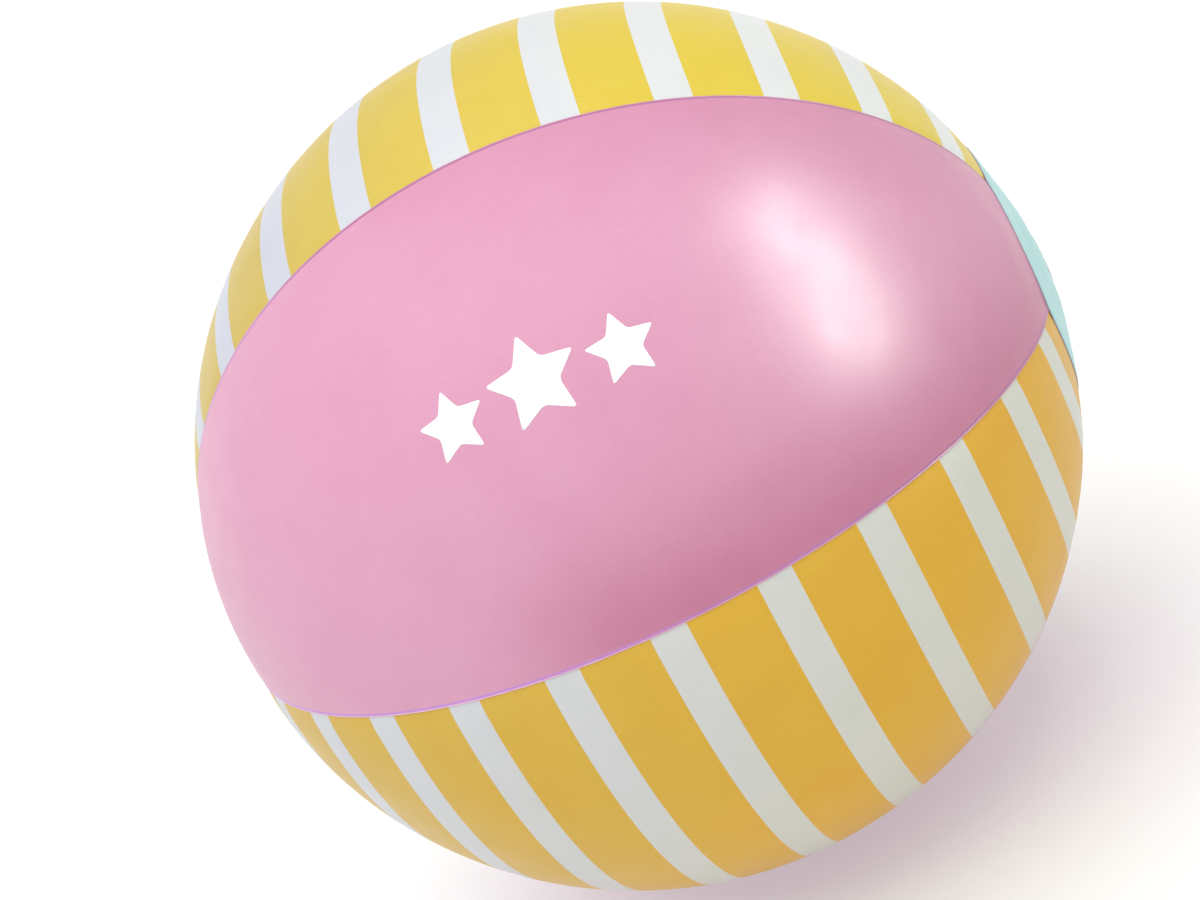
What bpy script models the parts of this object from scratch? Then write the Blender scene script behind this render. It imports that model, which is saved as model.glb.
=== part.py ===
"""Inflatable beach ball, blown up, with its mouth valve pushed in.

The ball's centre is the origin and its polar axis lies along X. Six welded film gores run from
pole to pole, an end disc covers their tips at each pole, and the disc at +X holds the valve.
Around the polar axis, turns are counted from -Y, where they are 0, up towards +Z.
"""

from math import asin, atan2, cos, degrees, hypot, pi, radians, sin

import bmesh
import bpy

# Driving dimensions, in metres.
BALL_RADIUS = 0.175
FILM = 0.0003           # thickness of the PVC film
GAP = 0.0003            # clearance between pieces that touch
LAYER = FILM + GAP      # how far one film lies over the film under it
LAP = 0.005             # width of the welded lap along each seam
GORES = 6
TIP_RADIUS = 0.022      # the gores end this far from the polar axis
DISC_RADIUS = 0.0530    # an end disc's rim
FLAT_RADIUS = 0.0110    # the flat middle of the plain end disc

# The step down from a striped panel's face to its tongue, as distances from the seam.
STEP_TOP = 0.0015
STEP_FOOT = 0.0003

# The valve, with depths counted inwards from the ball's radius at the pole.
VALVE_HOLE = 0.0113     # the hole in the end disc
FLANGE_RADIUS = 0.0190
FLANGE_BORE = 0.0106
FLANGE_THICKNESS = 0.0010
CUFF_SKIN = 0.0005
CUFF_TOP = 0.0006
CUFF_BEND_DEPTH = 0.0100
CUFF_FLOOR_DEPTH = 0.0121
STEM_RADIUS = 0.0050
STEM_BORE = 0.0032
STEM_TOP = 0.0021
STEM_END = 0.0200
LIP_RADIUS = 0.0054
LIP_LENGTH = 0.0014
COLLAR_RADIUS = 0.0056  # the collar that the strap grows from
COLLAR_DEPTH = 0.0060
COLLAR_THICKNESS = 0.0010
BASE_RADIUS = 0.0070    # the collar that the cuff joins
BASE_THICKNESS = 0.0010
HEAD_RADIUS = 0.0060
HEAD_RISE = 0.0004      # the plug's flat face stands this far above the gores' radius
HEAD_THICKNESS = 0.0022
HEAD_CHAMFER = 0.00037
PEG_RADIUS = 0.0028
PEG_TIP_RADIUS = 0.0024
PEG_LENGTH = 0.0082
TAB_REACH = 0.0092
TAB_WIDTH = 0.0044
TAB_THICKNESS = 0.0010
STRAP_WIDTH = 0.0026
STRAP_THICKNESS = 0.0007
STRAP_HEAD_DEPTH = 0.0009
SEAT_BORE = 0.0035
SEAT_THICKNESS = 0.0016
FLAP_RADIUS = 0.0044
FLAP_THICKNESS = 0.0005
FLAP_HINGE_REACH = 0.0050
FLAP_TAB_WIDTH = 0.0034

# Facets.
BODY_ROWS = 20          # rows of a gore between the end discs' rims
MIDDLE_COLUMNS = 8      # columns of a gore between what lies along its two seams
DISC_SIDES = 48
VALVE_SIDES = 24
BEND_STEPS = 5
TAB_STEPS = 8
STRAP_STEPS = 10
FLAP_STEPS = 24
MERGE = 1e-6
SHARP = radians(35)     # edges that turn more than this stay crisp

TIP_ANGLE = asin(TIP_RADIUS / BALL_RADIUS)
RIM_ANGLE = asin(DISC_RADIUS / BALL_RADIUS)
GORE_TURN = 2 * pi / GORES


def clear_scene():
    for obj in list(bpy.data.objects):
        bpy.data.objects.remove(obj, do_unlink=True)


def pvc(name, colour, roughness):
    material = bpy.data.materials.new(name)
    material.use_nodes = True
    shader = material.node_tree.nodes["Principled BSDF"]
    shader.inputs["Base Color"].default_value = (*colour, 1.0)
    shader.inputs["Roughness"].default_value = roughness
    shader.inputs["Metallic"].default_value = 0.0
    material.diffuse_color = (*colour, 1.0)
    return material


def add_object(name, mesh, material, parent=None):
    obj = bpy.data.objects.new(name, mesh)
    mesh.materials.append(material)
    bpy.context.collection.objects.link(obj)
    obj.parent = parent
    return obj


def mesh_from(bm, name):
    mesh = bpy.data.meshes.new(name)
    bm.to_mesh(mesh)
    bm.free()
    mesh.shade_smooth()
    mesh.set_sharp_from_angle(angle=SHARP)
    return mesh


def ball_point(polar, turn, radius):
    """The point at this angle from +X and this turn around X, counted from -Y up to +Z."""
    return (
        radius * cos(polar),
        -radius * sin(polar) * cos(turn),
        radius * sin(polar) * sin(turn),
    )


# ---------------------------------------------------------------- the film ball


def polar_rows():
    """Where the gores have rows, as angles from +X. They match the end discs' rows at both ends."""
    cap = [TIP_ANGLE, (TIP_ANGLE + RIM_ANGLE) / 2]
    step = (pi - 2 * RIM_ANGLE) / BODY_ROWS
    body = [RIM_ANGLE + step * row for row in range(BODY_ROWS + 1)]
    return cap + body + [pi - angle for angle in reversed(cap)]


def columns_across(ring_radius, edge):
    """(turn, depth) of each column across a gore. edge is the seam's (distance, depth) pairs."""
    left = [(distance / ring_radius, depth) for distance, depth in edge]
    start, stop = left[-1][0], GORE_TURN - left[-1][0]
    step = (stop - start) / MIDDLE_COLUMNS
    inner = [(start + step * k, 0.0) for k in range(1, MIDDLE_COLUMNS)]
    right = [(GORE_TURN - turn, depth) for turn, depth in reversed(left)]
    return left + inner + right


def gore(name, index, edge, material):
    """One panel: its outer face as a grid of quads, which Solidify thickens inwards."""
    bm = bmesh.new()
    grid = []
    for polar in polar_rows():
        columns = columns_across(BALL_RADIUS * sin(polar), edge)
        grid.append([
            bm.verts.new(ball_point(polar, index * GORE_TURN + turn, BALL_RADIUS - depth))
            for turn, depth in columns
        ])
    for upper, lower in zip(grid, grid[1:]):
        for k in range(len(upper) - 1):
            bm.faces.new((upper[k], upper[k + 1], lower[k + 1], lower[k]))
    obj = add_object(name, mesh_from(bm, name), material)
    film = obj.modifiers.new("film", "SOLIDIFY")
    film.thickness = FILM
    film.offset = -1.0
    film.use_even_offset = True
    return obj


def make_gores(plain, striped):
    """Plain panels lap over the tongues along both sides of the striped panels between them."""
    plain_edge = [(0.0, 0.0), (LAP, 0.0)]
    striped_edge = [(-LAP, LAYER), (STEP_FOOT, LAYER), (STEP_TOP, 0.0)]
    for pair in range(GORES // 2):
        gore(f"plain_panel_{pair + 1}", 2 * pair, plain_edge, plain)
        gore(f"striped_panel_{pair + 1}", 2 * pair + 1, striped_edge, striped)


# ---------------------------------------------------------------- turned pieces


def turned(name, profile, sides, material, parent):
    """A solid turned around its own Z. A profile that meets the axis starts and ends on it."""
    bm = bmesh.new()
    points = [bm.verts.new((radius, 0.0, height)) for radius, height in profile]
    for first, second in zip(points, points[1:]):
        bm.edges.new((first, second))
    if profile[0][0] > 0:
        bm.edges.new((points[-1], points[0]))
    bmesh.ops.spin(
        bm,
        geom=bm.verts[:] + bm.edges[:],
        cent=(0, 0, 0),
        axis=(0, 0, 1),
        angle=2 * pi,
        steps=sides,
    )
    bmesh.ops.remove_doubles(bm, verts=bm.verts[:], dist=MERGE)
    bmesh.ops.recalc_face_normals(bm, faces=bm.faces[:])
    return add_object(name, mesh_from(bm, name), material, parent)


def slab(outline, low, high):
    """A flat plate with this outline, between two heights."""
    bm = bmesh.new()
    face = bm.faces.new([bm.verts.new((x, y, low)) for x, y in outline])
    raised = bmesh.ops.extrude_face_region(bm, geom=[face])
    moved = [item for item in raised["geom"] if isinstance(item, bmesh.types.BMVert)]
    bmesh.ops.translate(bm, verts=moved, vec=(0, 0, high - low))
    bmesh.ops.recalc_face_normals(bm, faces=bm.faces[:])
    return bm


def on_sphere(radius, angle):
    return (radius * sin(angle), radius * cos(angle))


def cap_skin(angles, outer_radius, thickness):
    """The closed profile of a skin that follows the ball, along its outside and back inside."""
    outside = [on_sphere(outer_radius, angle) for angle in angles]
    inside = [on_sphere(outer_radius - thickness, angle) for angle in reversed(angles)]
    return outside + inside


def skin_along(centreline, thickness):
    """The closed outline of a skin this thick around a line of (radius, height) points."""
    sides = ([], [])
    for k, (x, y) in enumerate(centreline):
        before = centreline[max(k - 1, 0)]
        after = centreline[min(k + 1, len(centreline) - 1)]
        run = hypot(after[0] - before[0], after[1] - before[1])
        across = (-(after[1] - before[1]) / run, (after[0] - before[0]) / run)
        for side, sign in zip(sides, (0.5, -0.5)):
            side.append((x + across[0] * thickness * sign, y + across[1] * thickness * sign))
    return sides[0] + sides[1][::-1]


def arc(centre, radius, start, stop, steps):
    """Points on an arc, with its angles in degrees."""
    angles = [radians(start + (stop - start) * k / steps) for k in range(steps + 1)]
    return [(centre[0] + radius * cos(a), centre[1] + radius * sin(a)) for a in angles]


def rim_angles(first):
    return [first, TIP_ANGLE, (TIP_ANGLE + RIM_ANGLE) / 2, RIM_ANGLE]


def make_end_discs(film, valve_end, plain_end):
    """The two discs that lap over the gores' tips. The one at +X has the valve's hole."""
    outer = BALL_RADIUS + LAYER
    hole = asin(VALVE_HOLE / BALL_RADIUS)
    turned("end_disc_valve", cap_skin(rim_angles(hole), outer, FILM), DISC_SIDES, film, valve_end)
    flat = asin(FLAT_RADIUS / BALL_RADIUS)
    skin = cap_skin(rim_angles(flat), outer, FILM)
    top, under = skin[0][1], skin[-1][1]
    turned("end_disc_plain", [(0.0, top)] + skin + [(0.0, under)], DISC_SIDES, film, plain_end)


# ---------------------------------------------------------------- the valve


def at(depth):
    """The height of this depth on the polar axis."""
    return BALL_RADIUS - depth


def make_flange(material, valve_end):
    bore = asin(FLANGE_BORE / BALL_RADIUS)
    rim = asin(FLANGE_RADIUS / BALL_RADIUS)
    profile = cap_skin([bore, (bore + rim) / 2, rim], BALL_RADIUS, FLANGE_THICKNESS)
    turned("valve_flange", profile, VALVE_SIDES, material, valve_end)


def make_cuff(material, valve_end):
    """The soft skin that lets the stem be pushed in or popped out."""
    top_radius = FLANGE_BORE - GAP - CUFF_SKIN / 2
    bend_radius = top_radius - GAP
    round_radius = CUFF_FLOOR_DEPTH - CUFF_BEND_DEPTH
    floor_end = BASE_RADIUS + GAP
    bend = arc((bend_radius - round_radius, at(CUFF_BEND_DEPTH)), round_radius, 0, -90, BEND_STEPS)
    line = [(top_radius, at(CUFF_TOP)), (top_radius, at(CUFF_BEND_DEPTH / 2))]
    line += bend + [(floor_end, at(CUFF_FLOOR_DEPTH))]
    turned("valve_cuff", skin_along(line, CUFF_SKIN), VALVE_SIDES, material, valve_end)


def make_stem(material, valve_end):
    """The tube that is blown into, with its lip, the strap's collar and the cuff's collar."""
    rings = [
        (LIP_RADIUS, STEM_TOP, LIP_LENGTH),
        (COLLAR_RADIUS, COLLAR_DEPTH - COLLAR_THICKNESS / 2, COLLAR_THICKNESS),
        (BASE_RADIUS, CUFF_FLOOR_DEPTH - BASE_THICKNESS / 2, BASE_THICKNESS),
    ]
    profile = [(STEM_BORE, at(STEM_END)), (STEM_BORE, at(STEM_TOP))]
    for radius, high, thickness in rings:
        if high > STEM_TOP:
            profile.append((STEM_RADIUS, at(high)))
        profile += [(radius, at(high)), (radius, at(high + thickness))]
        profile.append((STEM_RADIUS, at(high + thickness)))
    profile.append((STEM_RADIUS, at(STEM_END)))
    return turned("valve_stem", profile, VALVE_SIDES, material, valve_end)


def make_plug(material, valve_end):
    """The plug: a flat head, a tapered peg in the stem's bore, and a pull tab to one side."""
    face = BALL_RADIUS + HEAD_RISE
    under = face - HEAD_THICKNESS
    edge = HEAD_CHAMFER
    profile = [
        (0.0, face),
        (HEAD_RADIUS - edge, face),
        (HEAD_RADIUS, face - edge),
        (HEAD_RADIUS, under + edge),
        (HEAD_RADIUS - edge, under),
        (PEG_RADIUS, under),
        (PEG_TIP_RADIUS, under - PEG_LENGTH),
        (0.0, under - PEG_LENGTH),
    ]
    plug = turned("valve_plug", profile, VALVE_SIDES, material, valve_end)
    half = TAB_WIDTH / 2
    end = arc((TAB_REACH - half, 0.0), half, -90, 90, TAB_STEPS)
    low = under + (HEAD_THICKNESS - TAB_THICKNESS) / 2
    bm = slab([(PEG_RADIUS, -half)] + end + [(PEG_RADIUS, half)], low, low + TAB_THICKNESS)
    tab = add_object("tab_tool", mesh_from(bm, "tab_tool"), material, valve_end)
    tab.hide_render = True
    tab.display_type = "WIRE"
    joined = plug.modifiers.new("pull_tab", "BOOLEAN")
    joined.operation = "UNION"
    joined.object = tab
    return plug


def make_strap(material, valve_end):
    """The band that keeps the plug on the stem: a half loop on the side away from the pull tab."""
    low, high = at(COLLAR_DEPTH), at(STRAP_HEAD_DEPTH)
    loop_radius = (high - low) / 2
    root = COLLAR_RADIUS + GAP
    head = HEAD_RADIUS + GAP
    centre = (head + GAP, (high + low) / 2)
    line = [(root, low)] + arc(centre, loop_radius, -90, 90, STRAP_STEPS) + [(head, high)]
    outline = [(-radius, height) for radius, height in skin_along(line, STRAP_THICKNESS)]
    bm = slab(outline, -STRAP_WIDTH / 2, STRAP_WIDTH / 2)
    strap = add_object("plug_strap", mesh_from(bm, "plug_strap"), material, valve_end)
    strap.rotation_euler = (pi / 2, 0.0, 0.0)


def make_flap(seat_material, flap_material, valve_end):
    """The non-return flap under the stem. It hangs on the edge of a ring at the stem's inner end."""
    seat_top = STEM_END + GAP
    seat_low = seat_top + SEAT_THICKNESS
    ring = [
        (STEM_RADIUS, at(seat_top)),
        (STEM_RADIUS, at(seat_low)),
        (SEAT_BORE, at(seat_low)),
        (SEAT_BORE, at(seat_top)),
    ]
    turned("flap_seat", ring, VALVE_SIDES, seat_material, valve_end)
    half = FLAP_TAB_WIDTH / 2
    corner = 180 - degrees(atan2(half, FLAP_RADIUS))
    shape = arc((0.0, 0.0), FLAP_RADIUS, -corner, corner, FLAP_STEPS)
    shape += [(-FLAP_HINGE_REACH, half), (-FLAP_HINGE_REACH, -half)]
    shape = [(x + FLAP_HINGE_REACH, y) for x, y in shape]
    bm = slab(shape, -FLAP_THICKNESS / 2, FLAP_THICKNESS / 2)
    flap = add_object("check_flap", mesh_from(bm, "check_flap"), flap_material, valve_end)
    hinge_depth = seat_low + GAP + FLAP_THICKNESS / 2
    flap.location = (-FLAP_HINGE_REACH, 0.0, at(hinge_depth))


def pole(name, turn):
    """An empty at the ball's centre whose own Z points along X or -X."""
    empty = bpy.data.objects.new(name, None)
    bpy.context.collection.objects.link(empty)
    empty.rotation_euler = (0.0, turn, 0.0)
    return empty


def main():
    clear_scene()
    pink = pvc("pink_film", (0.80, 0.41, 0.58), 0.32)
    yellow = pvc("yellow_film", (0.85, 0.62, 0.14), 0.34)
    mint = pvc("mint_film", (0.45, 0.76, 0.73), 0.32)
    moulded = pvc("clear_moulding", (0.82, 0.86, 0.86), 0.28)
    soft = pvc("soft_flap", (0.74, 0.78, 0.78), 0.40)
    valve_end = pole("valve_pole", pi / 2)
    plain_end = pole("plain_pole", -pi / 2)
    make_gores(pink, yellow)
    make_end_discs(mint, valve_end, plain_end)
    make_flange(moulded, valve_end)
    make_cuff(moulded, valve_end)
    make_stem(moulded, valve_end)
    make_plug(moulded, valve_end)
    make_strap(moulded, valve_end)
    make_flap(moulded, soft, valve_end)


main()
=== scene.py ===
"""The looks of the inflatable beach ball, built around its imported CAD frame.

The ball's centre is the origin and its polar axis is X, with the valve at +X. A place on the
film is given by its polar angle, from +X, and by its turn around X, from -Y up towards +Z.
"""

from math import asin, cos, pi, radians, sin, sqrt

import bmesh
import bpy
import numpy as np
from mathutils import Matrix, Vector


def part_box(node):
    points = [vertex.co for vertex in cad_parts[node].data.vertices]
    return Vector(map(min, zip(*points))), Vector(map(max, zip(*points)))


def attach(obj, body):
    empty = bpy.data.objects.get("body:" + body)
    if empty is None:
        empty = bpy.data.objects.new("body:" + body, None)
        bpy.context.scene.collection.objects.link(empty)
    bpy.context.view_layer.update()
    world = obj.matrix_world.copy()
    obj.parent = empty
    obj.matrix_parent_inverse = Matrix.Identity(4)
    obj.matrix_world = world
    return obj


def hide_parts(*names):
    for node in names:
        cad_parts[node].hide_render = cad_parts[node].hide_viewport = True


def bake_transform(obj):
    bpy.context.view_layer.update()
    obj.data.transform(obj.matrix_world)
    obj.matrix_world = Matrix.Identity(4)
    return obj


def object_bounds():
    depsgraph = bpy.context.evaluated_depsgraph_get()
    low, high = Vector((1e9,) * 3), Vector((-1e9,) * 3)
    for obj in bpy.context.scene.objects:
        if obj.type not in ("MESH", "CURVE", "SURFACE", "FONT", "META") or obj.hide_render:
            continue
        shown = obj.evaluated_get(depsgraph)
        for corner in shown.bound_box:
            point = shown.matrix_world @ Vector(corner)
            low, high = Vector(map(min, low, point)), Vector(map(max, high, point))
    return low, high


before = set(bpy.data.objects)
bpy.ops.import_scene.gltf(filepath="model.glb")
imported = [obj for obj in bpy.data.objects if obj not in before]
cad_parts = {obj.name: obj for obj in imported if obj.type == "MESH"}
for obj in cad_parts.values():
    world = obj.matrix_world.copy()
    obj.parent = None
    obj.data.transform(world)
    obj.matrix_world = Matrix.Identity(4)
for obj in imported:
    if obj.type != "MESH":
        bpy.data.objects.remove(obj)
CAD_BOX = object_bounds()

MM = 0.001
BALL = CAD_BOX[1].z
LAYER = 0.6 * MM        # how far the end discs lie over the gores in the CAD
FILM = 0.3 * MM
GORES = 6
GORE_TURN = 2 * pi / GORES
TIP_ANGLE = asin(22 * MM / BALL)
RIM_ANGLE = asin(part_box("end_disc_valve")[1].y / (BALL + LAYER))

# The printed stripes on each striped panel, in degrees of latitude towards the valve:
# the middle of one white band, the distance to the next, and half a white band's width.
STRIPES = [(0.4, 13.03, 2.27), (-3.0, 12.87, 2.20), (2.0, 12.71, 2.13)]

# The shape of the blown-up film.
SEAM_PULL = 2.0 * MM    # how far the seams hold the film in at the equator
SWELL = 0.25            # the share of that pull by which the panels' middles stand proud
RIM_PULL = 0.7 * MM
RIM_PULL_REACH = 14 * MM
DISC_SAG = 0.6 * MM     # how much flatter an end disc is than the ball, between flange and rim
FLANGE_RIM = 19 * MM
UNDER_LAP = 0.36 * MM   # the striped film's depth where the plain film lies over it
UNDER_DISC = 0.18 * MM  # how far all the gores' film is pressed in under an end disc
LAP = 5 * MM
LAP_RISE = 7 * MM
# how far the painted shade along the seams reaches from a seam
SEAM_SHADE_REACH = 33 * MM
WELD_DEPTH = 0.05 * MM
PUCKER = 0.035 * MM
PUCKER_AT_RIM = 0.09 * MM
PUCKER_LENGTHS = [5.1 * MM, 7.3 * MM, 10.7 * MM, 17 * MM]
PUCKER_START = 6 * MM   # from the seam to where the puckers are tallest
PUCKER_REACH = 9 * MM
PUCKER_GAIN = 2.6
RIM_FOLDS = [2 * pi / 31, 2 * pi / 43, 2 * pi / 19]
RIM_FOLDS_REACH = 11 * MM
SLOW_SWELL = 0.12 * MM
ROW_STEP = 2.2 * MM
EDGE_COLUMNS = [0.0, 0.35, 0.7, 1.0, 1.5, 2.2, 3.0, 4.0, 4.8, 5.2, 5.8]
MIDDLE_COLUMNS = 26
END_ROWS = 12           # rows of a gore that lie under each end disc


# ---------------------------------------------------------------- the shape of the film


def waves(seed, lengths, along):
    """A smooth random wave of height about 1, made of sines of these wavelengths."""
    random = np.random.RandomState(seed)
    total = np.zeros_like(along)
    for length in lengths:
        phase, slow = random.uniform(0, 2 * pi, 2)
        swell = 0.6 + 0.4 * np.sin(2 * pi * along / (length * 5.3) + slow)
        total += swell * np.sin(2 * pi * along / length + phase)
    return total / sqrt(len(lengths))


def smooth_step(value):
    value = np.clip(value, 0.0, 1.0)
    return value * value * (3 - 2 * value)


def film_radius(polar, turn):
    """The outer face of the blown-up film, as a distance from the ball's centre."""
    polar, turn = np.broadcast_arrays(np.asarray(polar, float), np.asarray(turn, float))
    around = BALL * np.sin(polar)
    seam = np.round(turn / GORE_TURN)
    from_seam = np.abs(turn - seam * GORE_TURN) * around
    half = np.maximum(GORE_TURN / 2 * around, 1e-6)
    radius = BALL + SEAM_PULL * np.sin(polar) * (SWELL - (1 - from_seam / half) ** 2)

    past_rim = BALL * (np.minimum(polar, pi - polar) - RIM_ANGLE)
    outside = np.maximum(past_rim, 0.0)
    radius -= RIM_PULL * np.exp(-((past_rim / RIM_PULL_REACH) ** 2))
    rim = BALL * sin(RIM_ANGLE)
    across_disc = np.clip((around - FLANGE_RIM) / (rim - FLANGE_RIM), 0.0, 1.0)
    radius -= DISC_SAG * np.sin(pi * across_disc) ** 2

    along = BALL * polar
    beside = np.clip(from_seam / PUCKER_START, 0, 1) ** 2 * np.exp(-from_seam / PUCKER_REACH)
    tall = PUCKER + (PUCKER_AT_RIM - PUCKER) * np.exp(-outside / (30 * MM))
    pucker = np.zeros_like(radius)
    for k in range(GORES):
        here = np.mod(seam, GORES) == k
        pucker += here * waves(40 + k, PUCKER_LENGTHS, along)
    radius += PUCKER_GAIN * tall * beside * pucker

    gathered = np.exp(-outside / RIM_FOLDS_REACH) * smooth_step(outside / (2.5 * MM))
    for k, end in enumerate((polar < pi / 2, polar >= pi / 2)):
        folds = waves(60 + k, RIM_FOLDS, np.mod(turn, 2 * pi))
        radius += end * PUCKER_AT_RIM * gathered * folds
    slow = waves(80, [0.9, 1.7], polar * 2 + turn * 0.5) * waves(81, [1.1, 2.3], turn)
    return radius + SLOW_SWELL * slow * np.sin(polar) ** 2 * (from_seam / half) ** 2


def place(polar, turn, radius):
    return np.stack(
        [
            radius * np.cos(polar),
            -radius * np.sin(polar) * np.cos(turn),
            radius * np.sin(polar) * np.sin(turn),
        ],
        axis=-1,
    )


def film_rows(stripes=STRIPES[0]):
    """The polar angles of the film's rows, and for each strip between two rows if it is white."""
    middle, period, white_half = stripes
    ends = [TIP_ANGLE + (RIM_ANGLE - TIP_ANGLE) * k / END_ROWS for k in range(END_ROWS)]
    edges = [RIM_ANGLE, pi - RIM_ANGLE]
    for k in range(-7, 8):
        for side in (-white_half, white_half):
            polar = radians(90 - middle - period * k - side)
            if RIM_ANGLE < polar < pi - RIM_ANGLE:
                edges.append(polar)
    edges.sort()
    body = []
    for start, stop in zip(edges, edges[1:]):
        steps = max(1, round((stop - start) * BALL / ROW_STEP))
        body += [start + (stop - start) * k / steps for k in range(steps)]
    rows = ends + body + [pi - RIM_ANGLE] + [pi - polar for polar in reversed(ends)]
    white = []
    for above, below in zip(rows, rows[1:]):
        latitude = 90 - np.degrees((above + below) / 2) - middle
        from_band = (latitude + period / 2) % period - period / 2
        white.append(abs(from_band) < white_half)
    return np.array(rows), white


def column_distances(half, tongue):
    """Distances from one seam to the other across a gore that is twice this half width."""
    edge = [step * MM for step in EDGE_COLUMNS]
    shares = [(k / MIDDLE_COLUMNS) ** 1.25 for k in range(1, MIDDLE_COLUMNS + 1)]
    near = edge + [edge[-1] + (half - edge[-1]) * share for share in shares]
    if tongue:
        near = [-LAP + 0.6 * MM, -LAP / 2] + near
    return np.array(near + [2 * half - distance for distance in reversed(near[:-1])])


def mesh_object(name, points, faces, materials, face_materials=None):
    mesh = bpy.data.meshes.new(name)
    mesh.from_pydata(points.reshape(-1, 3).tolist(), [], faces)
    for material in materials:
        mesh.materials.append(material)
    if face_materials is not None:
        mesh.polygons.foreach_set("material_index", face_materials)
    mesh.shade_smooth()
    obj = bpy.data.objects.new(name, mesh)
    bpy.context.collection.objects.link(obj)
    return obj


def grid_faces(rows, columns, closed=False):
    """The faces of a grid of points, as lists of indices. closed joins the last column to the first."""
    faces = []
    for row in range(rows - 1):
        for column in range(columns if closed else columns - 1):
            after = (column + 1) % columns
            top, low = row * columns, (row + 1) * columns
            faces.append((top + column, top + after, low + after, low + column))
    return faces


def face_outwards(obj):
    """Turns the faces of a part of the film so that they look away from the ball's centre."""
    mesh = obj.data
    total = sum(polygon.normal.dot(polygon.center) for polygon in mesh.polygons)
    if total < 0:
        mesh.flip_normals()
    return obj


def thicken(obj, thickness, offset=-1.0):
    film = obj.modifiers.new("film", "SOLIDIFY")
    film.thickness = thickness
    film.offset = offset
    film.use_even_offset = True
    return obj


def gore(name, index, striped, materials):
    """One panel of film. A striped one runs on under its neighbours by the width of the lap."""
    rows, white = film_rows(STRIPES[index // 2])
    turns, depths = [], []
    for polar in rows:
        around = BALL * sin(polar)
        inside_rim = BALL * (RIM_ANGLE - min(polar, pi - polar))
        pressed = UNDER_DISC * smooth_step(inside_rim / (2.5 * MM))
        distances = column_distances(GORE_TURN / 2 * around, striped)
        turns.append(index * GORE_TURN + distances / around)
        from_edge = np.minimum(distances, GORE_TURN * around - distances)
        if striped:
            depths.append(pressed + UNDER_LAP * (1 - smooth_step(from_edge / LAP_RISE)))
        else:
            in_weld = smooth_step((from_edge - 1.2 * MM) / (0.5 * MM)) * (
                1 - smooth_step((from_edge - 4.6 * MM) / (0.6 * MM))
            )
            depths.append(pressed + WELD_DEPTH * in_weld)
    turns = np.array(turns)
    polar = np.repeat(rows[:, None], turns.shape[1], axis=1)
    points = place(polar, turns, film_radius(polar, turns) - np.array(depths))
    columns = turns.shape[1]
    faces = grid_faces(len(rows), columns)
    if striped:
        kinds = [int(band) for band in white for _ in range(columns - 1)]
    else:
        last = EDGE_COLUMNS.index(1.0)
        strip = [int(k < last or k >= columns - 1 - last) for k in range(columns - 1)]
        kinds = strip * (len(rows) - 1)
    obj = face_outwards(mesh_object(name, points, faces, materials, kinds))
    # This attribute carries the painted shade along the seams near the valve, for the pink film's
    # colour.
    seam_shade = obj.data.attributes.new("seam_shade", "FLOAT", "POINT")
    seam_shade.data.foreach_set("value", painted_seam_shade(polar, turns - index * GORE_TURN).ravel())
    return thicken(obj, FILM)


def painted_seam_shade(polar, turn):
    """Painted shade along the seams near +X: from 0 in a panel's middle to 1 at its lower seam, and
    0.35 at its upper seam.
    """
    around = BALL * np.sin(polar)
    lower = np.exp(-((turn * around / SEAM_SHADE_REACH) ** 2))
    upper = np.exp(-(((GORE_TURN - turn) * around / SEAM_SHADE_REACH) ** 2))
    towards_valve = smooth_step((np.cos(polar) + 0.38) / 0.42)
    return towards_valve * np.maximum(lower, 0.35 * upper)


def seam_bead(name, index, material):
    """The ridge of film squeezed out along the edge of a plain panel when it was welded."""
    rows, _ = film_rows()
    rows = rows[END_ROWS:-END_ROWS]
    shape = [(-0.1, -0.02), (0.15, 0.10), (0.38, 0.05), (0.58, -0.16), (0.66, -0.36)]
    shape += [(0.2, -0.44), (-0.1, -0.4)]
    side = 1 if index % 2 else -1
    around = BALL * np.sin(rows)[:, None]
    wander = 1 + 0.16 * waves(100 + index, [9 * MM, 23 * MM], BALL * rows)[:, None]
    across = np.array([point[0] for point in shape])[None, :] * MM * wander
    raised = np.array([point[1] for point in shape])[None, :] * MM * np.ones_like(wander)
    turns = index * GORE_TURN + side * across / around
    polar = np.repeat(rows[:, None], len(shape), axis=1)
    seam = np.full_like(turns, index * GORE_TURN)
    points = place(polar, turns, film_radius(polar, seam) + raised)
    faces = grid_faces(len(rows), len(shape), closed=True)
    count = len(rows) * len(shape)
    faces += [tuple(range(len(shape))), tuple(range(count - len(shape), count))]
    obj = mesh_object(name, points, faces, [material])
    close_up(obj)
    return obj


def close_up(obj):
    """Makes the faces of a closed mesh look outwards."""
    bm = bmesh.new()
    bm.from_mesh(obj.data)
    bmesh.ops.remove_doubles(bm, verts=bm.verts[:], dist=1e-7)
    bmesh.ops.recalc_face_normals(bm, faces=bm.faces[:])
    bm.to_mesh(obj.data)
    bm.free()


# ---------------------------------------------------------------- materials


def node(tree, kind, **inputs):
    """A new shader node. Names of inputs have _ for each space."""
    made = tree.nodes.new(kind)
    for name, value in inputs.items():
        made.inputs[name.replace("_", " ")].default_value = value
    return made


def noise(tree, scale, detail=2.0, roughness=0.5):
    """A noise of this many cells to a metre, fixed to the object."""
    where = tree.nodes.new("ShaderNodeTexCoord")
    made = node(tree, "ShaderNodeTexNoise", Scale=scale, Detail=detail, Roughness=roughness)
    tree.links.new(where.outputs["Object"], made.inputs["Vector"])
    return made.outputs["Fac"]


def remap(tree, value, low, high, to_low, to_high):
    made = node(
        tree, "ShaderNodeMapRange", From_Min=low, From_Max=high, To_Min=to_low, To_Max=to_high
    )
    tree.links.new(value, made.inputs["Value"])
    return made.outputs["Result"]


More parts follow.
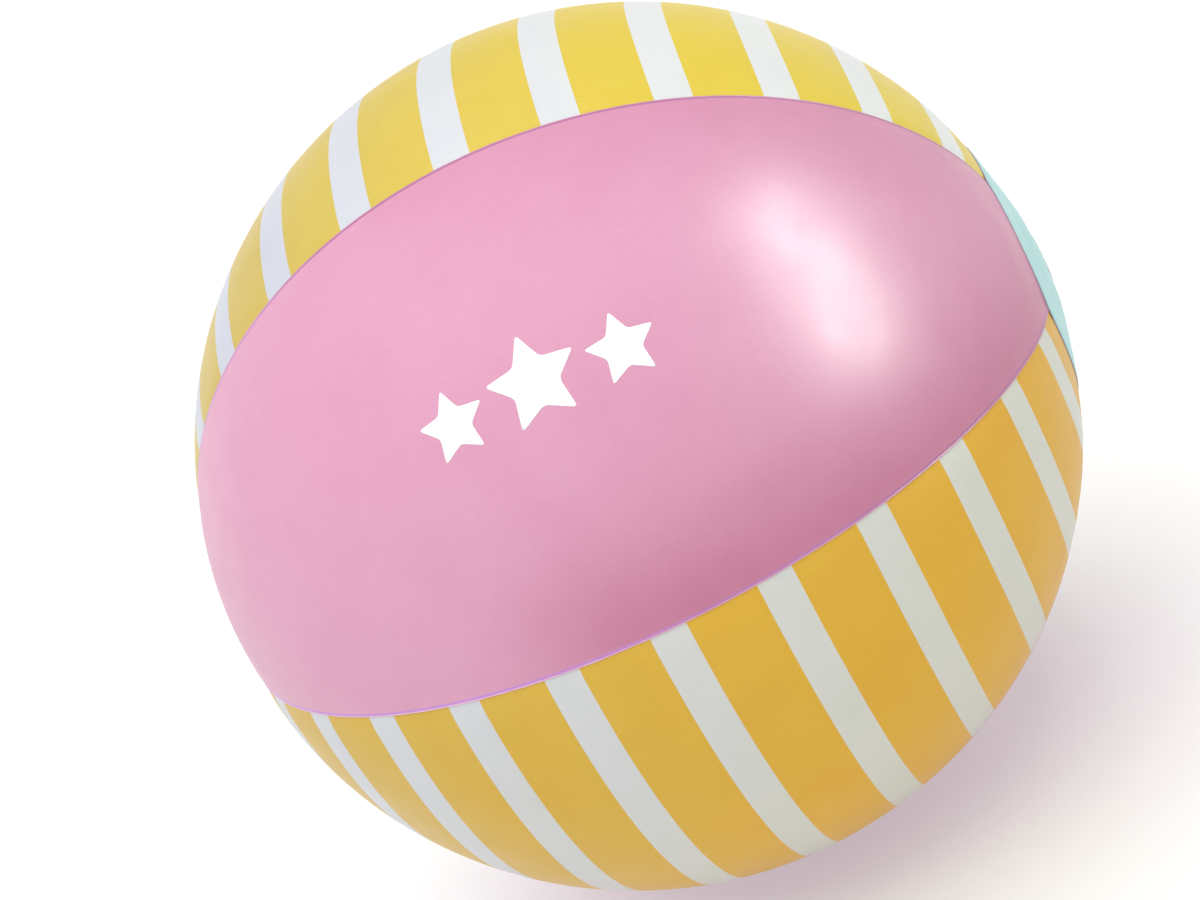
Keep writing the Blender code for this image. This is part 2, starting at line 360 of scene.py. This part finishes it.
def mixed(tree, factor, first, second):
    """A mix of two colours, each a tuple or a socket."""
    made = tree.nodes.new("ShaderNodeMix")
    made.data_type = "RGBA"
    sockets = {"fac": made.inputs[0], "a": made.inputs[6], "b": made.inputs[7]}
    for key, value in (("fac", factor), ("a", first), ("b", second)):
        if isinstance(value, bpy.types.NodeSocket):
            tree.links.new(value, sockets[key])
        elif key == "fac":
            sockets[key].default_value = value
        else:
            sockets[key].default_value = (*value, 1.0)
    return made.outputs[2]


def bump(tree, height, strength, distance, under=None):
    made = node(tree, "ShaderNodeBump", Strength=strength, Distance=distance)
    tree.links.new(height, made.inputs["Height"])
    if under is not None:
        tree.links.new(under, made.inputs["Normal"])
    return made.outputs["Normal"]


BLACK = (0.0, 0.0, 0.0)
PAINTED_SHADE_DIRECTION = (0.80, 0.0, -0.60)   # the films are painted in light and shade along this direction: the pink darker towards the valve and the floor
# yellow_pvc_1 and white_pvc_1 are painted lighter along this direction, towards the valve, as painted
# light.
ALONG_AXIS = (1.0, 0.0, 0.0)
# The seam lines are painted along this direction: the pale bead loses its painted highlight, and the
# mauve edge darkens as painted shade, towards the valve and the top.
TO_VALVE_AND_UP = (1.0, 0.0, 0.9)


def pvc(
    name, tint, other, low=0.33, high=0.43, coat=0.04, grain=1.0, seam_shade=None, light_and_shade_direction=PAINTED_SHADE_DIRECTION, level=0.5
):
    """Soft PVC film, painted in light and shade, with clouds, a fine speckle and a faint peel.

    seam_shade is the deeper colour painted as shade along the seams near the valve,
    light_and_shade_direction is the direction in which tint slowly turns into other as painted
    light and shade, and level is how strongly the film shines.
    """
    material = bpy.data.materials.new(name)
    material.use_nodes = True
    tree = material.node_tree
    shader = tree.nodes["Principled BSDF"]
    where = tree.nodes.new("ShaderNodeTexCoord")
    along = tree.nodes.new("ShaderNodeVectorMath")
    along.operation = "DOT_PRODUCT"
    along.inputs[1].default_value = light_and_shade_direction
    tree.links.new(where.outputs["Object"], along.inputs[0])
    # The colour turns from tint into other along that direction: painted light and shade.
    share = remap(tree, along.outputs["Value"], -0.45 * BALL, 0.55 * BALL, 0.0, 1.0)
    clouds = remap(tree, noise(tree, 11.0, 3.0), 0.3, 0.7, -0.15, 0.15)
    blend = tree.nodes.new("ShaderNodeMath")
    blend.operation = "ADD"
    blend.use_clamp = True
    tree.links.new(share, blend.inputs[0])
    tree.links.new(clouds, blend.inputs[1])
    base = mixed(tree, blend.outputs[0], tint, other)
    if seam_shade is not None:
        # Deepens the colour towards the painted seam shade where the attribute says so.
        seam_shade_node = tree.nodes.new("ShaderNodeAttribute")
        seam_shade_node.attribute_name = "seam_shade"
        base = mixed(tree, seam_shade_node.outputs["Fac"], base, seam_shade)
    deeper = node(tree, "ShaderNodeGamma", Gamma=1.5)
    tree.links.new(base, deeper.inputs["Color"])
    mottle = remap(tree, noise(tree, 42.0, 4.0, 0.6), 0.42, 0.72, 0.0, 0.13 * grain)
    base = mixed(tree, mottle, base, deeper.outputs["Color"])
    specks = remap(tree, noise(tree, 1150.0, 3.0, 0.7), 0.3, 0.7, 0.0, 0.06 * grain)
    base = mixed(tree, specks, base, BLACK)
    fine = remap(tree, noise(tree, 2600.0, 1.0), 0.35, 0.65, 0.0, 0.03 * grain)
    base = mixed(tree, fine, base, BLACK)
    tree.links.new(base, shader.inputs["Base Color"])
    gloss = remap(tree, noise(tree, 55.0, 4.0), 0.25, 0.75, low, high)
    tree.links.new(gloss, shader.inputs["Roughness"])
    peel = bump(tree, noise(tree, 260.0, 2.0), 0.16 * grain, 0.10 * MM)
    pores = bump(tree, noise(tree, 1500.0, 2.0), 0.20 * grain, 0.03 * MM, peel)
    tree.links.new(pores, shader.inputs["Normal"])
    shader.inputs["Coat Weight"].default_value = coat
    shader.inputs["Coat Roughness"].default_value = 0.32
    shader.inputs["Specular IOR Level"].default_value = level
    shader.inputs["IOR"].default_value = 1.43
    return material


def moulding(name, tint, other, transmission):
    """Thick soft moulded PVC, a little see-through."""
    material = pvc(name, tint, other, 0.16, 0.26, 0.25)
    shader = material.node_tree.nodes["Principled BSDF"]
    shader.inputs["Transmission Weight"].default_value = transmission
    shader.inputs["Subsurface Weight"].default_value = 0.25
    shader.inputs["Subsurface Scale"].default_value = 0.0015
    return material


# ---------------------------------------------------------------- end discs


DISC_COLUMNS = 240
VALVE_HOLE = 11.3 * MM
WELD_IN = 36 * MM
WELD_OUT = 46 * MM


def disc_height(from_axis, turn):
    """How far an end disc's outer face stands over the gores' film."""
    band = smooth_step((from_axis - WELD_IN) / (0.7 * MM)) * (
        1 - smooth_step((from_axis - WELD_OUT) / (0.6 * MM))
    )
    knurl = 0.012 * MM * np.sin(turn * 60) * np.sin(2 * pi * from_axis / (1.6 * MM)) * band
    inside = np.exp(-((from_axis - WELD_IN + 3 * MM) / (3.5 * MM)) ** 2)
    folds = waves(120, [2 * pi / 26, 2 * pi / 37], turn) * inside * 0.07 * MM
    edge = 0.05 * MM * smooth_step((from_axis - WELD_OUT) / (0.5 * MM))
    return UNDER_LAP + 0.02 * MM - 0.09 * MM * band + knurl + folds - edge


def disc_steps(first, last):
    """Radii of an end disc's rings, close together where the weld and the rim are."""
    marks = [first, WELD_IN - 7 * MM, WELD_IN, WELD_IN + 0.7 * MM, WELD_OUT, WELD_OUT + 0.6 * MM, last]
    counts = [max(4, int((marks[1] - first) / (1.6 * MM))), 6, 3, 18, 3, 3]
    steps = []
    for start, stop, count in zip(marks, marks[1:], counts):
        steps += [start + (stop - start) * k / count for k in range(count)]
    return np.array(steps + [last])


def end_disc(name, side, first, extra, material):
    """The disc at +X (side 1) or -X (side -1), from the radius first to its rim.

    extra adds the shape of the disc's middle to its height.
    """
    rim = BALL * sin(RIM_ANGLE)
    radii = disc_steps(first, rim)
    near = np.arcsin(radii / BALL)
    polar = near if side > 0 else pi - near
    turn = np.linspace(0, 2 * pi, DISC_COLUMNS, endpoint=False)
    polar, turn = np.meshgrid(polar, turn, indexing="ij")
    from_axis = np.repeat(radii[:, None], DISC_COLUMNS, axis=1)
    radius = film_radius(polar, turn) + disc_height(from_axis, turn)
    radius += extra(from_axis, turn)
    points = place(polar, turn, radius).reshape(-1, 3)
    faces = grid_faces(len(radii), DISC_COLUMNS, closed=True)
    if first < 1 * MM:
        middle = points[:DISC_COLUMNS].mean(axis=0)
        points = np.vstack([points, middle])
        faces += [((k + 1) % DISC_COLUMNS, k, len(points) - 1) for k in range(DISC_COLUMNS)]
    obj = face_outwards(mesh_object(name, points, faces, [material]))
    return thicken(obj, FILM)


def over_flange(from_axis, turn):
    """The film that is welded down onto the valve's flange, with its ring of fine ribs."""
    on_ring = smooth_step((from_axis - 12.4 * MM) / (0.4 * MM)) * (
        1 - smooth_step((from_axis - 18.2 * MM) / (0.5 * MM))
    )
    ribs = np.sin(2 * pi * from_axis / (1.15 * MM))
    past = np.exp(-((from_axis - 20.5 * MM) / (2.2 * MM)) ** 2)
    folds = waves(140, [2 * pi / 17, 2 * pi / 27], turn) * past * 0.08 * MM
    return (0.05 * MM * ribs - 0.05 * MM) * on_ring + folds


def plain_middle(from_axis, turn):
    """The small round pad welded at the middle of the end without the valve."""
    pad = 1 - smooth_step((from_axis - 10.5 * MM) / (0.7 * MM))
    groove = np.exp(-((from_axis - 8.4 * MM) / (0.45 * MM)) ** 2)
    past = np.exp(-((from_axis - 13 * MM) / (2 * MM)) ** 2)
    folds = waves(150, [2 * pi / 15, 2 * pi / 23], turn) * past * 0.07 * MM
    return 0.12 * MM * pad - 0.10 * MM * groove + folds


def rim_bead(name, side, material):
    """The narrow line where an end disc's edge is welded down, coloured dark plum partly as the film's
    edge and partly as a painted shadow under the disc's edge.
    """
    turn = np.linspace(0, 2 * pi, DISC_COLUMNS * 2, endpoint=False)
    shape = [(-0.15, 0.30), (0.12, 0.34), (0.34, 0.20), (0.5, -0.04), (0.1, -0.1), (-0.15, -0.02)]
    rows = []
    for out, raised in shape:
        near = RIM_ANGLE + out * MM / BALL
        polar = near if side > 0 else pi - near
        radius = film_radius(np.full_like(turn, polar), turn) + raised * MM
        rows.append(place(polar, turn, radius))
    rows.append(rows[0])
    points = np.array(rows)
    faces = grid_faces(len(rows), len(turn), closed=True)
    obj = mesh_object(name, points, faces, [material])
    close_up(obj)
    return obj


# ---------------------------------------------------------------- the print


PRINT_POLAR = radians(89.4)
PRINT_TURN = radians(29.4)
STAR_NOTCH = 0.50
STAR_SOFT = 0.16
INK = 0.03 * MM
STARS = [(-29.5, 0.0, 12.5), (0.5, 1.5, 16.5), (30.5, 0.0, 12.5)]


def star_outline(reach):
    """A five-pointed star's outline, with its corners rounded."""
    corners = []
    for k in range(10):
        length = reach if k % 2 == 0 else reach * STAR_NOTCH
        angle = pi / 2 + k * pi / 5
        corners.append(Vector((length * cos(angle), length * sin(angle))))
    points = []
    for k, corner in enumerate(corners):
        start = corner.lerp(corners[k - 1], STAR_SOFT)
        stop = corner.lerp(corners[(k + 1) % 10], STAR_SOFT)
        for t in (0.0, 0.2, 0.4, 0.6, 0.8, 1.0):
            points.append(start.lerp(corner, t).lerp(corner.lerp(stop, t), t))
        onward = corners[(k + 1) % 10].lerp(corner, STAR_SOFT)
        points += [stop.lerp(onward, t) for t in (0.25, 0.5, 0.75)]
    return np.array([tuple(point) for point in points])


def star(name, along, up, reach, material):
    outline = star_outline(reach * MM)
    rings = 9
    flat = [outline * (k / rings) for k in range(rings, 0, -1)]
    flat = np.vstack(flat + [np.zeros((1, 2))])
    polar = PRINT_POLAR - (along * MM + flat[:, 0]) / BALL
    turn = PRINT_TURN + (up * MM + flat[:, 1]) / (BALL * np.sin(polar))
    points = place(polar, turn, film_radius(polar, turn) + INK + 0.02 * MM)
    count = len(outline)
    faces = grid_faces(rings, count, closed=True)
    last = (rings - 1) * count
    faces += [(last + k, last + (k + 1) % count, len(points) - 1) for k in range(count)]
    obj = face_outwards(mesh_object(name, points, faces, [material]))
    return thicken(obj, INK)


# ---------------------------------------------------------------- the valve


VALVE_SIDES = 96


def softened(profile, reach, steps=3):
    """The closed profile of (radius, height) points with its corners rounded off the axis."""
    made = []
    for k, point in enumerate(profile):
        corner = Vector(point)
        if point[0] == 0:
            made.append(corner)
            continue
        before = Vector(profile[k - 1]) - corner
        after = Vector(profile[(k + 1) % len(profile)]) - corner
        start = corner + before * min(1.0, reach / before.length, 0.48)
        stop = corner + after * min(1.0, reach / after.length, 0.48)
        for step in range(steps + 1):
            t = step / steps
            made.append(start.lerp(corner, t).lerp(corner.lerp(stop, t), t))
    return [tuple(point) for point in made]


def turned(name, profile, material):
    """A solid turned around X from (radius, x) points."""
    bm = bmesh.new()
    points = [bm.verts.new((x, -radius, 0.0)) for radius, x in profile]
    for first, second in zip(points, points[1:]):
        bm.edges.new((first, second))
    if profile[0][0] > 0:
        bm.edges.new((points[-1], points[0]))
    bmesh.ops.spin(
        bm,
        geom=bm.verts[:] + bm.edges[:],
        cent=(0, 0, 0),
        axis=(1, 0, 0),
        angle=2 * pi,
        steps=VALVE_SIDES,
    )
    bmesh.ops.remove_doubles(bm, verts=bm.verts[:], dist=1e-6)
    bmesh.ops.recalc_face_normals(bm, faces=bm.faces[:])
    mesh = bpy.data.meshes.new(name)
    bm.to_mesh(mesh)
    bm.free()
    mesh.materials.append(material)
    mesh.shade_smooth()
    mesh.set_sharp_from_angle(angle=radians(40))
    obj = bpy.data.objects.new(name, mesh)
    bpy.context.collection.objects.link(obj)
    return obj


def at(depth):
    """The x of this depth in millimetres under the ball's radius at the pole."""
    return BALL - depth * MM


def radial(points):
    return [(radius * MM, at(depth)) for radius, depth in points]


def make_flange(material):
    bore, rim = asin(10.62 * MM / BALL), asin(18.9 * MM / BALL)
    top = [(10.62 * MM, at(-0.40)), (11.2 * MM, at(-0.40)), (11.2 * MM, at(0.36))]
    angles = [bore + (rim - bore) * k / 8 for k in range(1, 9)]
    top += [(BALL * sin(a), BALL * cos(a) - 0.02 * MM) for a in angles]
    low = [((BALL - 1 * MM) * sin(a), (BALL - 1 * MM) * cos(a)) for a in reversed(angles)]
    low += [(10.62 * MM, at(1.3))]
    return turned("flange_ring", softened(top + low, 0.22 * MM), material)


def make_cuff(material):
    """The soft skin between the flange and the stem, with two shallow folding grooves."""
    line = [(10.5, 0.1), (10.22, 0.5), (10.06, 1.2)]
    for k in range(1, 25):
        depth = 1.2 + 8.0 * k / 25
        line.append((10.0 + 0.13 * cos(2 * pi * (depth - 1.2) / 2.66) - 0.06, depth))
    for k in range(9):
        angle = radians(-90.0 * k / 8)
        line.append((7.75 + 2.2 * cos(angle), 9.9 - 2.2 * sin(angle)))
    line += [(7.4, 12.12), (7.0, 12.1), (6.6, 12.1)]
    outside, inside = [], []
    for k, (radius, depth) in enumerate(line):
        before, after = line[max(k - 1, 0)], line[min(k + 1, len(line) - 1)]
        run = sqrt((after[0] - before[0]) ** 2 + (after[1] - before[1]) ** 2)
        across = ((after[1] - before[1]) / run * 0.25, -(after[0] - before[0]) / run * 0.25)
        outside.append((radius + across[0], depth + across[1]))
        inside.append((radius - across[0], depth - across[1]))
    return turned("folding_cuff", radial(outside + inside[::-1]), material)


def make_stem(material):
    outside = [(3.2, 2.1), (5.4, 2.1), (5.4, 3.5), (5.0, 3.5), (5.0, 5.5), (5.6, 5.5)]
    outside += [(5.6, 6.5), (5.0, 6.5), (5.0, 8.4), (5.25, 8.4), (5.25, 8.9), (5.0, 8.9)]
    outside += [(5.0, 11.6), (7.0, 11.6), (7.0, 12.6), (5.0, 12.6), (5.0, 16.0), (5.3, 16.0)]
    outside += [(5.3, 16.5), (5.0, 16.5), (5.0, 20.0), (3.2, 20.0)]
    return turned("blow_stem", softened(radial(outside), 0.2 * MM), material)


def make_seat(material):
    ring = [(3.5, 20.0), (5.0, 20.0), (5.0, 21.9), (4.2, 21.9), (3.9, 21.6), (3.5, 21.6)]
    return turned("seat_ring", softened(radial(ring), 0.18 * MM), material)


def make_plug(material):
    """The plug's head with a dished face, and its peg with a bead near the tip."""
    face = -0.4
    profile = [(0.0, face + 0.35), (3.4, face + 0.35), (3.8, face), (6.0, face), (6.0, face + 2.2)]
    profile += [(2.85, face + 2.2), (2.72, face + 7.0), (2.95, face + 7.4), (2.9, face + 8.0)]
    profile += [(2.4, face + 8.7), (2.2, face + 10.2), (0.0, face + 10.4)]
    plug = turned("plug_body", softened(radial(profile), 0.35 * MM, 4), material)
    centre = at(face + 1.1)
    tab = tab_plate("plug_tab", material, centre)
    return plug, tab


def tab_plate(name, material, centre):
    """The tab that is pulled to open the plug: a rounded plate towards -Z with three grip ribs."""
    bm = bmesh.new()
    half, reach = 2.2 * MM, 9.2 * MM
    outline = [(-half, -4.6 * MM), (half, -4.6 * MM)]
    for k in range(13):
        angle = pi * k / 12
        outline.append((half * cos(angle), -(reach - half) - half * sin(angle)))
    low = [bm.verts.new((centre - 0.5 * MM, y, z)) for y, z in outline]
    face = bm.faces.new(low)
    raised = bmesh.ops.extrude_face_region(bm, geom=[face])
    moved = [item for item in raised["geom"] if isinstance(item, bmesh.types.BMVert)]
    bmesh.ops.translate(bm, verts=moved, vec=(1.0 * MM, 0, 0))
    for z in (-6.7, -7.5, -8.3):
        wide = 1.45 if z > -8 else 1.15
        block = bmesh.ops.create_cube(bm, size=1.0)
        bmesh.ops.scale(bm, verts=block["verts"], vec=(1.36 * MM, 2 * wide * MM, 0.28 * MM))
        bmesh.ops.translate(bm, verts=block["verts"], vec=(centre, 0, z * MM))
    bmesh.ops.recalc_face_normals(bm, faces=bm.faces[:])
    mesh = bpy.data.meshes.new(name)
    bm.to_mesh(mesh)
    bm.free()
    mesh.materials.append(material)
    mesh.shade_smooth()
    mesh.set_sharp_from_angle(angle=radians(40))
    obj = bpy.data.objects.new(name, mesh)
    bpy.context.collection.objects.link(obj)
    edge = obj.modifiers.new("rounding", "BEVEL")
    edge.width = 0.12 * MM
    edge.segments = 2
    return obj


def make_strap(material):
    """The band that keeps the plug on the stem: half a loop on the side away from the tab."""
    low, high = at(6.0), at(0.9)
    loop = (high - low) / 2
    middle = (low + high) / 2
    path = [(5.3 * MM, low), (5.9 * MM, low)]
    for k in range(25):
        angle = radians(-90 + 180 * k / 24)
        path.append((6.6 * MM + loop * cos(angle), middle + loop * sin(angle)))
    path += [(5.7 * MM, high)]
    ring = []
    for k in range(16):
        angle = 2 * pi * k / 16
        across, through = cos(angle), sin(angle)
        squared = max(abs(across), abs(through)) ** 0.55
        ring.append((1.3 * MM * across / squared, 0.35 * MM * through / squared))
    points = []
    for k, (z, x) in enumerate(path):
        before, after = path[max(k - 1, 0)], path[min(k + 1, len(path) - 1)]
        run = Vector((after[0] - before[0], after[1] - before[1])).normalized()
        points.append([(x + b * run.x, a, z - b * run.y) for a, b in ring])
    points = np.array(points)
    rows, columns = points.shape[:2]
    faces = grid_faces(rows, columns, closed=True)
    faces += [tuple(range(columns)), tuple(range((rows - 1) * columns, rows * columns))]
    obj = mesh_object("strap_loop", points, faces, [material])
    close_up(obj)
    obj.data.set_sharp_from_angle(angle=radians(50))
    return obj


def make_flap(material):
    """The round non-return flap, a little dished, with its hinge tab at +Z."""
    centre = (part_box("check_flap")[0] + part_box("check_flap")[1]) / 2
    rings, count = 8, 48
    points = []
    for k in range(rings, 0, -1):
        for step in range(count):
            angle = 2 * pi * step / count
            reach = 4.4 * MM * k / rings
            y, z = reach * cos(angle), reach * sin(angle)
            if sin(angle) > 0.9 and k == rings:
                z = 5.0 * MM
            points.append((centre.x - 0.06 * MM * (1 - (k / rings) ** 2), y, z))
    points.append((centre.x - 0.06 * MM, 0.0, 0.0))
    faces = grid_faces(rings, count, closed=True)
    last = (rings - 1) * count
    faces += [(last + k, last + (k + 1) % count, len(points) - 1) for k in range(count)]
    obj = face_outwards(mesh_object("flap_disc", np.array(points), faces, [material]))
    return thicken(obj, 0.5 * MM, 0.0)


# ---------------------------------------------------------------- camera, floor and light


DISTANCE = 4.5          # from the ball's centre, in ball radii
POLE_TILT = radians(7.9)
VIEW_TURN = radians(19.1)
AXIS_ROLL = radians(24.95)
SENSOR = 36.0
LENS = 58.59
SHIFT = (-0.03267, -0.00233)


def make_camera():
    toward = Vector(
        (sin(POLE_TILT), -cos(POLE_TILT) * cos(VIEW_TURN), cos(POLE_TILT) * sin(VIEW_TURN))
    )
    axis = Vector((1, 0, 0))
    along = (axis - toward * axis.dot(toward)).normalized()
    upward = toward.cross(along)
    right = along * cos(AXIS_ROLL) - upward * sin(AXIS_ROLL)
    up = along * sin(AXIS_ROLL) + upward * cos(AXIS_ROLL)
    camera = bpy.data.objects.new("camera", bpy.data.cameras.new("camera"))
    bpy.context.collection.objects.link(camera)
    turn = Matrix((right, up, toward)).transposed()
    camera.matrix_world = Matrix.Translation(toward * BALL * DISTANCE) @ turn.to_4x4()
    camera.data.sensor_width = SENSOR
    camera.data.lens = LENS
    camera.data.shift_x, camera.data.shift_y = SHIFT
    camera.data.clip_start = 0.01
    camera.data.clip_end = 500
    bpy.context.scene.camera = camera


SKY_LOW = 1.02
SKY_HIGH = 0.45
SKY_FADE = (0.12, 0.5)  # the heights between which it changes from low to high
SUN_TOWARDS = (-0.08, -0.22, 0.97)
SUN_POWER = 2.9
SUN_ANGLE = radians(70)
FLOOR_SIZE = 400.0
PAPER_GREY = 0.56
PAPER_GLOW = 0.34       # of the floor's own light, which keeps it as white as the photo's ground
KEY_AT = (1.068, -0.385, 0.482)
KEY_AIM = (0.11, -0.17, 0.03)
KEY_LENGTHWISE = (-0.237, 0.5, 0.833)
KEY_SIZE = (0.40, 0.23)
KEY_SPREAD = radians(20)
KEY_POWERS = (0.205, 0.198, 0.190, 0.181)   # of the boxes, from the lowest up
KEY_TINT = (0.80, 1.0, 0.90)


def make_key_strip():
    """A row of gridded softboxes whose beams only reach the ball's front, at the valve's side."""
    for k, power in enumerate(KEY_POWERS):
        name = f"key_box_{k + 1}"
        light = bpy.data.lights.new(name, "AREA")
        light.shape = "RECTANGLE"
        light.size, light.size_y = KEY_SIZE
        light.spread = KEY_SPREAD
        light.energy = power
        light.color = KEY_TINT
        box = bpy.data.objects.new(name, light)
        bpy.context.collection.objects.link(box)
        lengthwise = Vector(KEY_LENGTHWISE)
        middle = Vector(KEY_AT) + lengthwise * KEY_SIZE[1] * (k - (len(KEY_POWERS) - 1) / 2)
        back = (middle - Vector(KEY_AIM)).normalized()
        side = lengthwise.cross(back).normalized()
        turn = Matrix((side, back.cross(side), back)).transposed()
        box.matrix_world = Matrix.Translation(middle) @ turn.to_4x4()
        box.visible_diffuse = False


def make_sky():
    """A white dome, the same all round, that is brightest from the horizon down."""
    world = bpy.data.worlds.new("studio")
    bpy.context.scene.world = world
    world.use_nodes = True
    tree = world.node_tree
    where = tree.nodes.new("ShaderNodeTexCoord")
    split = tree.nodes.new("ShaderNodeSeparateXYZ")
    tree.links.new(where.outputs["Generated"], split.inputs[0])
    level = remap(tree, split.outputs["Z"], *SKY_FADE, SKY_LOW, SKY_HIGH)
    sky = tree.nodes["Background"]
    sky.inputs["Color"].default_value = (1.0, 1.0, 1.0, 1.0)
    tree.links.new(level, sky.inputs["Strength"])


def make_studio():
    make_sky()
    bpy.ops.mesh.primitive_plane_add(size=FLOOR_SIZE, location=(0, 0, -BALL))
    floor = bpy.context.object
    floor.name = "studio_floor"
    paper = bpy.data.materials.new("paper")
    paper.use_nodes = True
    shader = paper.node_tree.nodes["Principled BSDF"]
    shader.inputs["Base Color"].default_value = (PAPER_GREY, PAPER_GREY, PAPER_GREY, 1)
    shader.inputs["Emission Color"].default_value = (1.0, 1.0, 1.0, 1)
    shader.inputs["Emission Strength"].default_value = PAPER_GLOW
    shader.inputs["Roughness"].default_value = 0.9
    shader.inputs["Specular IOR Level"].default_value = 0.1
    floor.data.materials.append(paper)
    sun = bpy.data.lights.new("overhead", "SUN")
    sun.energy = SUN_POWER
    sun.angle = SUN_ANGLE
    overhead = bpy.data.objects.new("overhead", sun)
    bpy.context.collection.objects.link(overhead)
    overhead.rotation_euler = (-Vector(SUN_TOWARDS)).to_track_quat("-Z", "Y").to_euler()
    overhead.visible_glossy = False
    make_key_strip()


# ---------------------------------------------------------------- the ball


def film_piece(obj, node_name):
    """Fixes a piece to the ball, in place of a CAD node if it names one."""
    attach(obj, "ball")
    if node_name:
        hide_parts(node_name)


def main():
    scene = bpy.context.scene
    for name in ("Cube", "Light", "Camera"):
        if name in bpy.data.objects:
            bpy.data.objects.remove(bpy.data.objects[name])
    scene.view_settings.view_transform = "Standard"
    scene.view_settings.look = "None"

    # The pink is painted darker towards the valve and the floor, and deeper still along the seams near
    # the valve, as shade.
    pink = pvc(
        "pink_pvc", (0.648, 0.312, 0.449), (0.634, 0.282, 0.406), seam_shade=(0.515, 0.182, 0.288)
    )
    # The mauve strip is the plain film's own darker edge, painted darker still towards the valve and
    # the top as shade along the seam.
    mauve = pvc(
        "mauve_edge", (0.53, 0.255, 0.638), (0.43, 0.16, 0.31), light_and_shade_direction=TO_VALVE_AND_UP
    )
    # The bead's pale colour is partly the squeezed-out film's own and partly a painted highlight along
    # the seam's edge, palest low down and away from the valve.
    pale = pvc(
        "pale_bead", (0.744, 0.446, 0.638), (0.55, 0.25, 0.38), 0.3, 0.4, light_and_shade_direction=TO_VALVE_AND_UP
    )
    # The striped panels' yellows and whites are lit and shaded copies of one print: painted lemon and
    # light on the top panel, lighter still towards the valve, and deeper and more orange on the lower
    # front panel, as painted light and shade.
    yellows = [
        pvc("yellow_pvc_1", (0.555, 0.42, 0.10), (0.70, 0.54, 0.046), light_and_shade_direction=ALONG_AXIS, level=0.36),
        pvc("yellow_pvc_2", (0.68, 0.478, 0.048), (0.69, 0.473, 0.043), level=0.36),
        pvc("yellow_pvc_3", (0.61, 0.405, 0.058), (0.69, 0.385, 0.024), level=0.28),
    ]
    whites = [
        pvc("white_pvc_1", (0.53, 0.55, 0.62), (0.70, 0.72, 0.69), light_and_shade_direction=ALONG_AXIS),
        pvc("white_pvc_2", (0.617, 0.638, 0.659), (0.622, 0.638, 0.638)),
        pvc("white_pvc_3", (0.574, 0.59, 0.617), (0.60, 0.605, 0.525)),
    ]
    mint = pvc("mint_pvc", (0.353, 0.652, 0.642), (0.358, 0.658, 0.647))
    # The dark plum is partly the film's edge and partly a painted shadow under the end discs' edges.
    rim_shadow_colour = pvc("plum_rim_shadow", (0.276, 0.202, 0.276), (0.302, 0.224, 0.298))
    ink = pvc("white_ink", (0.96, 0.96, 0.96), (0.95, 0.95, 0.96), 0.42, 0.5, 0.0, 0.5)
    milky = moulding("milky_pvc", (0.83, 0.88, 0.87), (0.80, 0.86, 0.85), 0.25)
    soft = moulding("soft_pvc", (0.76, 0.81, 0.81), (0.73, 0.79, 0.79), 0.35)

    for pair in range(GORES // 2):
        plain = gore(f"pink_panel_{pair + 1}", 2 * pair, False, [pink, mauve])
        film_piece(plain, f"plain_panel_{pair + 1}")
        striped = gore(f"striped_film_{pair + 1}", 2 * pair + 1, True, [yellows[pair], whites[pair]])
        film_piece(striped, f"striped_panel_{pair + 1}")
    for index in range(GORES):
        film_piece(seam_bead(f"seam_bead_{index + 1}", index, pale), None)

    film_piece(end_disc("valve_disc", 1, VALVE_HOLE, over_flange, mint), "end_disc_valve")
    film_piece(end_disc("plain_disc", -1, 0.5 * MM, plain_middle, mint), "end_disc_plain")
    film_piece(rim_bead("valve_rim_bead", 1, rim_shadow_colour), None)
    film_piece(rim_bead("plain_rim_bead", -1, rim_shadow_colour), None)
    for k, (along, up, reach) in enumerate(STARS):
        film_piece(star(f"print_star_{k + 1}", along, up, reach, ink), None)

    film_piece(make_flange(milky), "valve_flange")
    cuff = make_cuff(milky)
    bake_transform(cuff)
    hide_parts("valve_cuff")
    for piece, body, cad in (
        (make_stem(milky), "stem", "valve_stem"),
        (make_seat(milky), "stem", "flap_seat"),
        (make_flap(soft), "flap", "check_flap"),
    ):
        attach(piece, body)
        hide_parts(cad)
    plug, tab = make_plug(milky)
    for piece in (plug, tab):
        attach(piece, "plug")
    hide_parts("valve_plug")
    strap = make_strap(milky)
    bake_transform(strap)
    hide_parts("plug_strap")

    make_studio()
    make_camera()


main()
